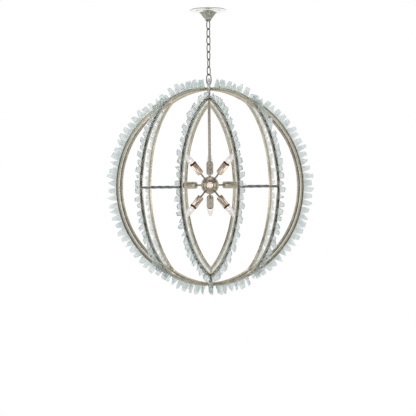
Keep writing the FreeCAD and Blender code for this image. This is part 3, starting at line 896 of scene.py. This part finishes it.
def build_chain():
    pivot = LOOP_PIVOT
    for k, turn in enumerate(LINK_TURNS):
        top = -pivot + LINK_WIRE + HINGE_GAP
        add_piece(wire_ring(LINK_WIDTH, LINK_WIRE, top, -pivot - LINK_PITCH, turn),
                  "chain_link_%d" % (k + 1), "link_%d" % (k + 1), "hardware_metal", hardware_metal)
        pivot += LINK_PITCH
    top = -pivot + LINK_WIRE / 2 + HINGE_GAP + BIG_WIRE / 2
    add_piece(wire_ring(BIG_WIDTH, BIG_WIRE, top, -pivot - BIG_PITCH, BIG_TURN),
              "hanging_link", "big_link", "hardware_metal", hardware_metal)
    add_piece(eye(pivot + BIG_PITCH), "orb_eye", "orb", "hardware_metal", hardware_metal)


# Canopy and what it covers

def canopy_shell():
    """Spun plate with a bright face, a greyer rim and a bell."""
    bm = lathe(CANOPY_OUTER + CANOPY_INNER, 96, closed=True)
    for face in bm.faces:
        middle = face.calc_center_median()
        reach = math.hypot(middle.x, middle.y)
        if PLATE_INNER < reach < PLATE_OUTER and middle.z < PLATE_TOP:
            face.material_index = 1
        elif reach > RIM_INNER:
            face.material_index = 2
    return bm


def collar_ring():
    """Short ring with fine grooves round it."""
    floor = COLLAR_RADIUS - GROOVE_DEPTH
    ring = [(COLLAR_BORE, COLLAR_TOP), (COLLAR_RADIUS - 0.5, COLLAR_TOP),
            (COLLAR_RADIUS, COLLAR_TOP - 0.5)]
    for k in range(COLLAR_GROOVES):
        z = COLLAR_TOP - 1.0 - k * GROOVE_PITCH
        ring += [(COLLAR_RADIUS, z), (floor, z - 0.25), (floor, z - 0.45), (COLLAR_RADIUS, z - 0.7)]
    ring += [(COLLAR_RADIUS, COLLAR_LOW + 0.9), (COLLAR_RADIUS - 0.8, COLLAR_LOW),
             (COLLAR_BORE, COLLAR_LOW)]
    return lathe(ring, 64, closed=True)


def canopy_loop():
    """Threaded neck, open from above for the nipple, with the wire loop under it."""
    neck = [(NIPPLE_BORE, NECK_TOP), (NECK_RADIUS - 0.3, NECK_TOP)]
    neck += thread(NECK_RADIUS, NECK_ROOT, NECK_TOP - 0.6, THREAD_PITCH, NECK_RIDGES)
    neck += [(NECK_RADIUS, NECK_LOW + 0.7), (NECK_RADIUS - 0.4, NECK_LOW), (0, NECK_LOW)]
    bm = lathe(neck, 48)
    join(bm, lathe([(NIPPLE_BORE, NECK_TOP), (NIPPLE_BORE, NIPPLE_LOW), (0, NIPPLE_LOW)], 24))
    join(bm, wire_ring(LOOP_WIDTH, LINK_WIRE, NECK_LOW + LINK_WIRE / 2, -LOOP_PIVOT, LOOP_TURN))
    return bm


def nipple():
    ridges = thread(NIPPLE_CREST, NIPPLE_ROOT, NIPPLE_TOP - 0.4, THREAD_PITCH, NIPPLE_RIDGES)
    return lathe([(0, NIPPLE_TOP), (NIPPLE_END, NIPPLE_TOP)] + ridges
                 + [(NIPPLE_END, NIPPLE_LOW), (0, NIPPLE_LOW)], 32)


def build_canopy():
    add_piece(canopy_shell(), "canopy", "canopy_plate", "hardware_metal",
              canopy_metal, plate_metal, rim_metal, crease=40.0)
    add_piece(collar_ring(), "canopy_collar", "collar", "hardware_metal", canopy_metal)
    add_piece(canopy_loop(), "canopy_loop", "ceiling_mount", "hardware_metal", hardware_metal)
    add_piece(nipple(), "nipple", "ceiling_mount", "nipple_brass", nipple_brass, crease=20.0)
    for node in ("ceiling_strap", "locknut"):
        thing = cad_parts[node]
        thing.data.materials.clear()
        thing.data.materials.append(bracket_steel)


# Stem, ball and lamps

def lamp_axis(azimuth, tilt):
    a, t = math.radians(azimuth), math.radians(tilt)
    return Vector((math.cos(t) * math.sin(a), -math.cos(t) * math.cos(a), math.sin(t)))


def ball():
    """Ball with a flat for the stem and one for each arm."""
    bm = bmesh.new()
    bmesh.ops.create_icosphere(bm, subdivisions=5, radius=BALL_RADIUS)
    for direction in [Vector((0, 0, 1))] + [lamp_axis(*lamp) for lamp in LAMPS]:
        cut(bm, direction * BALL_FLAT, direction)
    return moved(bm, Matrix.Translation((0, 0, HUB_Z)))


def build_hub():
    low = HUB_Z + BALL_FLAT
    high = CENTRE_Z + ORB_HEIGHT - BAR_DEPTH / 2
    stem = lathe([(STEM_RADIUS, low), (STEM_RADIUS, high), (STEM_BORE, high), (STEM_BORE, low)],
                 40, closed=True)
    add_piece(stem, "stem", "orb", "hardware_metal", stem_metal)
    add_piece(ball(), "ball", "orb", "hardware_metal", ball_metal, crease=8.0)


def cup_shell():
    """Cup with a bead near its mouth; its inside and a band at its rim are painted near-black as shade.
    """
    base = smooth_profile([(CUP_FOOT, CUP_BASE), (CUP_FOOT + 3.6, CUP_BASE + 1.2),
                           (CUP_RADIUS - 0.7, CUP_BASE + 4.0), (CUP_RADIUS, CUP_BASE + 8.0)], 4)
    mouth = [(CUP_RADIUS, CUP_RIM - 2.6), (CUP_RADIUS - 0.25, CUP_RIM - 2.2),
             (CUP_RADIUS, CUP_RIM - 1.6), (CUP_RADIUS, CUP_RIM - 0.4), (CUP_RADIUS - 0.4, CUP_RIM)]
    inside = [(CUP_INSIDE, CUP_RIM), (CUP_INSIDE, CUP_FLOOR), (0, CUP_FLOOR)]
    bm = lathe([(0, CUP_BASE)] + base + mouth + inside, 40)
    # The inside and the band at the rim take the painted shade
    for face in bm.faces:
        middle = face.calc_center_median()
        within = math.hypot(middle.x, middle.y) < CUP_INSIDE + 0.1 and middle.z > CUP_FLOOR - 0.1
        if within or middle.z > CUP_RIM - CUP_PAINTED_SHADE_RIM:
            face.material_index = 1
    return bm


def holder_body():
    bore = CAP_RADIUS + CAP_GAP
    floor = HOLDER_MOUTH - CAP_LENGTH
    return lathe([(0, CUP_FLOOR), (HOLDER_RADIUS - 0.6, CUP_FLOOR), (HOLDER_RADIUS, CUP_FLOOR + 0.6),
                  (HOLDER_RADIUS, HOLDER_MOUTH - 0.8), (HOLDER_RADIUS - 0.8, HOLDER_MOUTH),
                  (bore + 0.3, HOLDER_MOUTH), (bore, HOLDER_MOUTH - 0.5), (bore, floor), (0, floor)], 32)


def arm_rod():
    return lathe([(0, BALL_FLAT), (ARM_RADIUS, BALL_FLAT), (ARM_RADIUS, CUP_BASE), (0, CUP_BASE)], 24)


def cap_body():
    """Lamp cap with a contact at its end and ridges round it."""
    low = HOLDER_MOUTH - CAP_LENGTH + CAP_GAP
    profile = [(0, low), (2.2, low + 0.1), (2.6, low + 1.0), (4.6, low + 1.6), (5.2, low + 3.0)]
    profile += thread(CAP_CREST, CAP_ROOT, low + 3.6, -CAP_PITCH, CAP_RIDGES)
    profile += [(CAP_CREST, GLASS_FOOT - 1.4), (CAP_CREST, GLASS_FOOT), (0, GLASS_FOOT)]
    return lathe(profile, 32)


def shade_neck(bm, index):
    """Faces of the glass's neck, up to a little beyond the cup's mouth, take another material: painted
    shade on the outer skin, a painted glow on the inner one.
    """
    for face in bm.faces:
        if face.calc_center_median().z < NECK_SHADE:
            face.material_index = index


def inner_wall(outer):
    """The glass's profile, moved inward by its wall."""
    shell = [(0, GLASS_FOOT + GLASS_WALL)]
    for (r0, z0), (r, z), (r1, z1) in zip(outer, outer[1:], outer[2:]):
        far = math.hypot(r1 - r0, z1 - z0)
        r -= GLASS_WALL * (z1 - z0) / far
        z += GLASS_WALL * (r1 - r0) / far
        if r > 0.05 and z > GLASS_FOOT + GLASS_WALL + 0.2:
            shell.append((r, z))
    shell.append((0, shell[-1][1] + 0.3))
    return shell


def envelope():
    """Blown candle glass: neck, belly, drawn tip, with a thin wall."""
    outer = smooth_profile([(GLASS_RADIUS * r, GLASS_FOOT + GLASS_LENGTH * h)
                            for h, r in GLASS_SHAPE], 4)
    bm = lathe([(0, GLASS_FOOT)] + outer[:-1] + [(0, GLASS_FOOT + GLASS_LENGTH)], 32)
    # Outside of the neck: painted shade; inside: painted glow
    shade_neck(bm, 1)
    cavity = lathe(inner_wall(outer), 32)
    bmesh.ops.reverse_faces(cavity, faces=cavity.faces)
    shade_neck(cavity, 2)
    join(bm, cavity)
    return bm


def thin_wire(points):
    part = bmesh.new()
    skin(part, [[p + Vector((WIRE_RADIUS * math.cos(a), WIRE_RADIUS * math.sin(a), 0))
                 for a in WIRE_CORNERS] for p in points])
    for face in part.faces:
        face.material_index = 1
    return part


def filament():
    """Stem press, two leads and a zigzag filament."""
    bm = lathe([(r, PRESS_FOOT + z) for r, z in PRESS_SHAPE], 16)
    for side in (-1, 1):
        join(bm, thin_wire([Vector((x * side, 0, PRESS_FOOT + z)) for x, z in LEAD_PATH]))
    zigzag = []
    for k in range(ZIGZAG_POINTS):
        x = -ZIGZAG_REACH + 2 * ZIGZAG_REACH * k / (ZIGZAG_POINTS - 1)
        y, rise = (ZIGZAG_SWAY, ZIGZAG_RISE) if k % 2 else (-ZIGZAG_SWAY, 0)
        zigzag.append(Vector((x, y, PRESS_FOOT + ZIGZAG_LOW + rise)))
    join(bm, thin_wire(zigzag))
    return bm


def build_lamps():
    for name, maker, slot, materials in (
            ("lamp_arms", arm_rod, "hardware_metal", (hardware_metal,)),
            ("lamp_cups", cup_shell, "cup_copper", (cup_copper, cup_inside_painted_shade)),
            ("lamp_holders", holder_body, "holder_plastic", (holder_plastic,))):
        parts = gathered(moved(maker(), lamp_frame(*lamp)) for lamp in LAMPS)
        add_piece(parts, name, "orb", slot, *materials)
    for name, lamp in zip(LAMP_NAMES, LAMPS):
        for prefix, maker, slot, materials in (
                ("lamp_cap_", cap_body, "cap_metal", (cap_metal,)),
                ("lamp_glass_", envelope, "lamp_glass", (lamp_glass, lamp_neck_painted_shade, press_painted_glow)),
                ("lamp_filament_", filament, "cap_metal", (press_painted_glow, lit_wire))):
            add_piece(moved(maker(), lamp_frame(*lamp)), prefix + name, "lamp_" + name, slot,
                      *materials, stands=maker is not filament)


build_frames()
build_glass()
build_chain()
build_canopy()
build_hub()
build_lamps()


# Stage, light and camera

def seen_directly(nodes, links, rays):
    """One where a ray of these kinds meets the stage, so that it looks plain white."""
    path = nodes.new("ShaderNodeLightPath")
    seen = path.outputs[rays[0]]
    for ray in rays[1:]:
        most = nodes.new("ShaderNodeMath")
        most.operation = "MAXIMUM"
        links.new(seen, most.inputs[0])
        links.new(path.outputs[ray], most.inputs[1])
        seen = most.outputs[0]
    return seen


def stage_material(name):
    """Off-white to the light, plain white to the eye and in reflections."""
    mat = bpy.data.materials.new(name)
    mat.use_nodes = True
    nodes, links = mat.node_tree.nodes, mat.node_tree.links
    nodes.clear()
    out = nodes.new("ShaderNodeOutputMaterial")
    diffuse = nodes.new("ShaderNodeBsdfDiffuse")
    diffuse.inputs["Color"].default_value = (*STAGE_COLOUR, 1.0)
    glow = nodes.new("ShaderNodeEmission")
    glow.inputs["Color"].default_value = (1.0, 1.0, 1.0, 1.0)
    blend = nodes.new("ShaderNodeMixShader")
    links.new(seen_directly(nodes, links, ("Is Camera Ray", "Is Glossy Ray", "Is Transmission Ray")),
              blend.inputs[0])
    links.new(diffuse.outputs[0], blend.inputs[1])
    links.new(glow.outputs[0], blend.inputs[2])
    links.new(blend.outputs[0], out.inputs[0])
    return mat


def stage_plane(name, corners):
    mesh = bpy.data.meshes.new(name)
    mesh.from_pydata(corners, [], [(0, 1, 2, 3)])
    mesh.materials.append(stage_material(name))
    thing = link_object(name, mesh)


def hide_from_view(lamp):
    lamp.visible_camera = False
    lamp.visible_transmission = False


def area_light(name, place, size, power):
    """Rectangle of light aimed at the orb's centre."""
    data = bpy.data.lights.new(name, "AREA")
    data.shape = "RECTANGLE"
    data.size, data.size_y = size
    data.energy = power
    lamp = link_object(name, data)
    lamp.location = place
    lamp.rotation_mode = "QUATERNION"
    aim = Vector((0, 0, CENTRE_Z * MM)) - Vector(place)
    lamp.rotation_quaternion = aim.to_track_quat("-Z", "Y")
    hide_from_view(lamp)


def glow_light(name, turn):
    """Soft warm light from round the ball, which the inner faces of the bars catch."""
    data = bpy.data.lights.new(name, "POINT")
    data.shadow_soft_size = 0.05
    data.energy = 0.15
    data.color = (1.0, 0.95, 0.91)
    lamp = link_object(name, data)
    lamp.location = (GLOW_RADIUS * math.cos(turn), GLOW_RADIUS * math.sin(turn), HUB_Z * MM)
    hide_from_view(lamp)


def build_world():
    """White to the eye and through the glass, dim to everything else."""
    world = bpy.data.worlds.new("studio")
    world.use_nodes = True
    nodes, links = world.node_tree.nodes, world.node_tree.links
    nodes["Background"].inputs["Color"].default_value = (1.0, 1.0, 1.0, 1.0)
    seen = seen_directly(nodes, links, ("Is Camera Ray", "Is Transmission Ray"))
    links.new(spread(nodes, links, seen, 0.15, 1.0), nodes["Background"].inputs["Strength"])
    bpy.context.scene.world = world


def build_stage():
    reach, front, back, z = FLOOR
    stage_plane("floor", [(-reach, front, z), (reach, front, z), (reach, back, z), (-reach, back, z)])
    reach, y, low, high = BACKDROP
    stage_plane("backdrop", [(-reach, y, low), (reach, y, low), (reach, y, high), (-reach, y, high)])
    area_light("front", (0, -5.4, 0), (2.2, 2.6), 20.0)
    area_light("left", (-4.2, -2.3, 0), (2.2, 3.0), 22.0)
    area_light("right", (4.2, -2.3, 0), (2.2, 3.0), 22.0)
    area_light("key", (-1.8, -4.0, 1.6), (0.8, 0.8), 25.0)
    area_light("top", (0, 0.2, 1.8), (1.6, 1.6), 25.0)
    for k in range(LEAVES):
        glow_light("glow_%d" % k, math.radians(LEAF_STEP * k + 30))
    build_world()


def build_camera():
    data = bpy.data.cameras.new("camera")
    data.sensor_width = SENSOR
    data.lens = FOCAL / IMAGE * SENSOR
    data.shift_x = (IMAGE / 2 - CENTRE_X) / IMAGE
    rise = CAMERA_RISE / CAMERA_DISTANCE * FOCAL
    data.shift_y = (CENTRE_Y - IMAGE / 2 - rise) / IMAGE
    data.clip_end = 50.0
    camera = link_object("camera", data)
    yaw = math.radians(CAMERA_YAW)
    camera.location = (CAMERA_DISTANCE * math.sin(yaw), -CAMERA_DISTANCE * math.cos(yaw),
                       CENTRE_Z * MM + CAMERA_RISE)
    camera.rotation_mode = "XYZ"
    camera.rotation_euler = (math.radians(90.0), math.radians(CAMERA_ROLL), yaw)
    bpy.context.scene.camera = camera


build_stage()
build_camera()
bpy.context.scene.view_settings.view_transform = "Standard"
